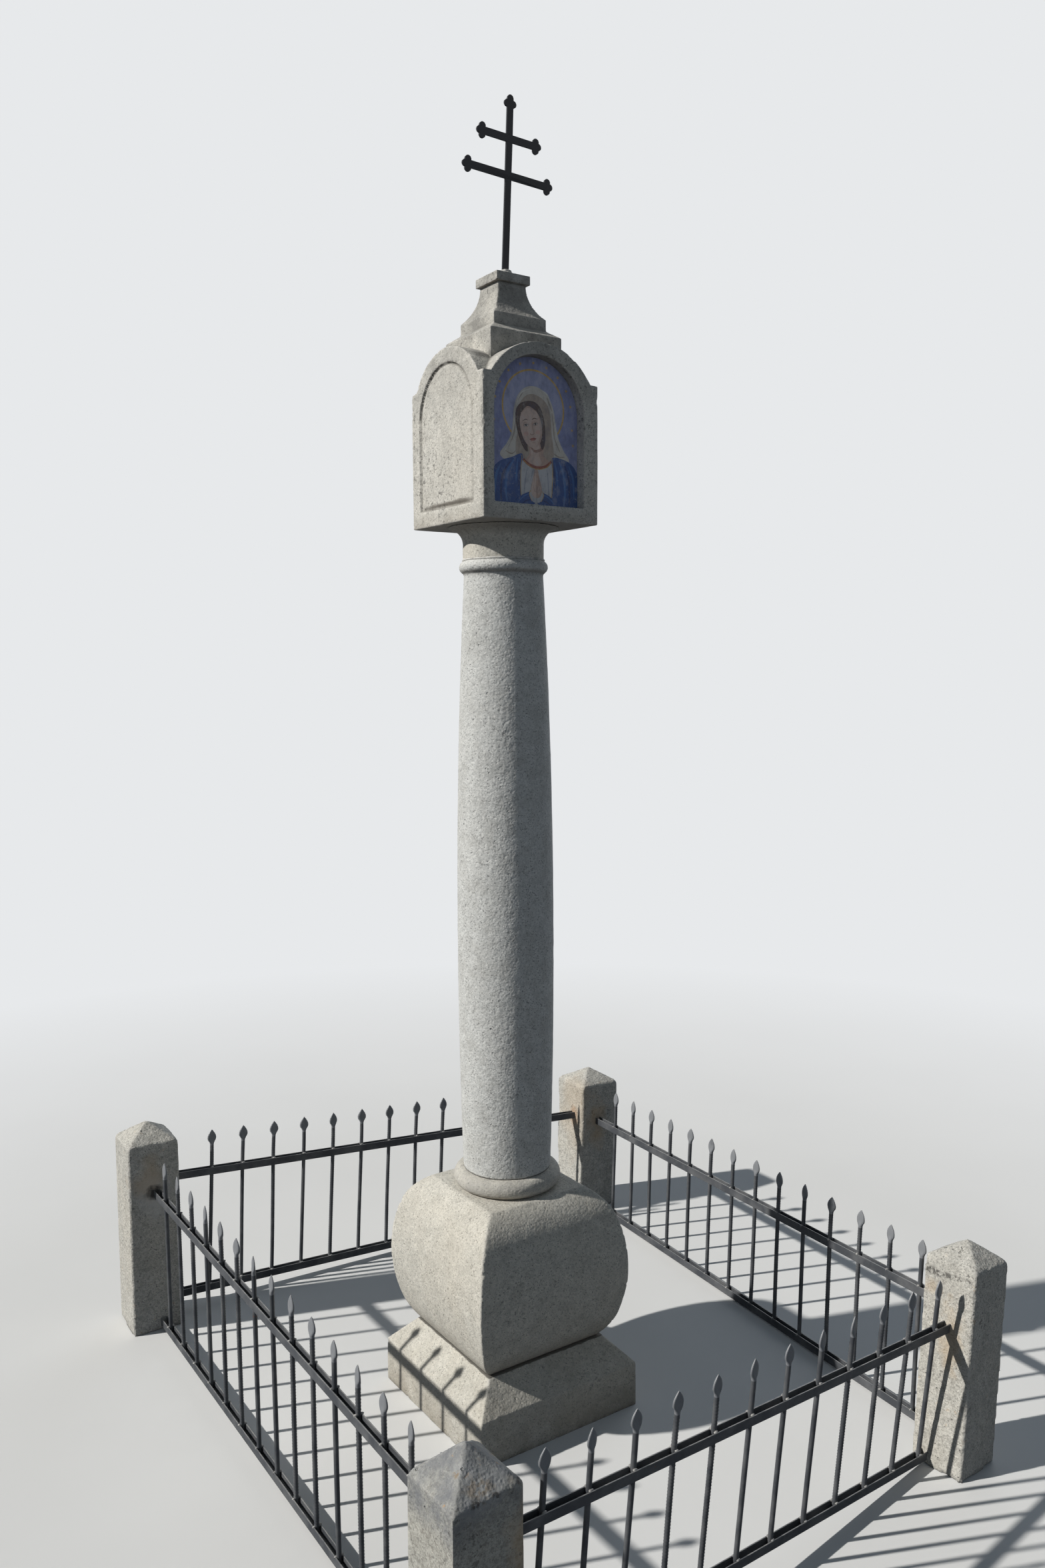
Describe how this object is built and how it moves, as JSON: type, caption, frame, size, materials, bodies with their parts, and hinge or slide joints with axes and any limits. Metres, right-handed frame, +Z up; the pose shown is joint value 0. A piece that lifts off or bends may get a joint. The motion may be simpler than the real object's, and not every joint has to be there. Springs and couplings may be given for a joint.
{
  "type": "wayside shrine",
  "caption": "Granite column shrine with a square lantern head and an iron double cross, inside granite posts with iron picket panels.",
  "frame": {"origin": "on the axis of the column, at ground level under the plinth", "axes": "+Z up; the picture and the bare panel of the pedestal face -Y; +X is to the right of somebody who looks at the picture"},
  "size_m": [1.8155, 2.0571, 3.4286],
  "materials": {
    "base_granite": "weathered, bush-hammered",
    "shaft_granite": "weathered, bush-hammered",
    "head_granite": "weathered, bush-hammered",
    "post_granite": "weathered, rust-stained",
    "painted_plate": "matt paint",
    "mortar": "matt",
    "cross_iron": "satin black paint",
    "fence_iron": "satin black paint, dusty"
  },
  "bodies": {
    "root": {"plinth": "base_granite", "pedestal_block": "base_granite", "base_ring": "base_granite", "column_shaft": "shaft_granite", "neck": "head_granite", "lantern_block": "head_granite", "cap_stone": "head_granite", "cap_slab": "head_granite", "front_picture": "painted_plate", "cross_footing": "mortar", "cross_upright": "cross_iron", "cross_upper_arm": "cross_iron", "cross_lower_arm": "cross_iron", "near_post": "post_granite", "left_post": "post_granite", "right_post": "post_granite", "far_post": "post_granite", "front_top_rail": "fence_iron", "front_bottom_rail": "fence_iron", "front_pickets": "fence_iron", "left_top_rail": "fence_iron", "left_bottom_rail": "fence_iron", "left_pickets": "fence_iron", "back_top_rail": "fence_iron", "back_bottom_rail": "fence_iron", "back_pickets": "fence_iron", "right_top_rail": "fence_iron", "right_bottom_rail": "fence_iron", "right_pickets": "fence_iron"}
  },
  "joints": []
}
